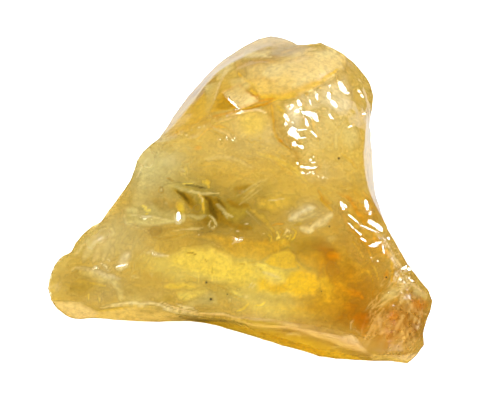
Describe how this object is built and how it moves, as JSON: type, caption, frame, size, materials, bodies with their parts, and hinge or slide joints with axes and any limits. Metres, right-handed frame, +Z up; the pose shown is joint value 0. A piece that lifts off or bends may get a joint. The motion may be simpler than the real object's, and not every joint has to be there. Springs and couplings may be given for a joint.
{
  "type": "rough yellow sapphire",
  "caption": "Rough broken wedge of clear yellow crystal with a glassy sloping face, a rounded crown and a flat underside to rest on.",
  "frame": {"origin": "middle of the footprint, on the resting plane", "axes": "+Z up; the broad glassy face looks towards -Y and up; +X towards the end with the hackly knob, -X towards the rounded nose"},
  "size_m": [0.0278, 0.0242, 0.0137],
  "materials": {
    "stone": "gloss"
  },
  "bodies": {
    "root": {"stone": "stone"}
  },
  "joints": []
}
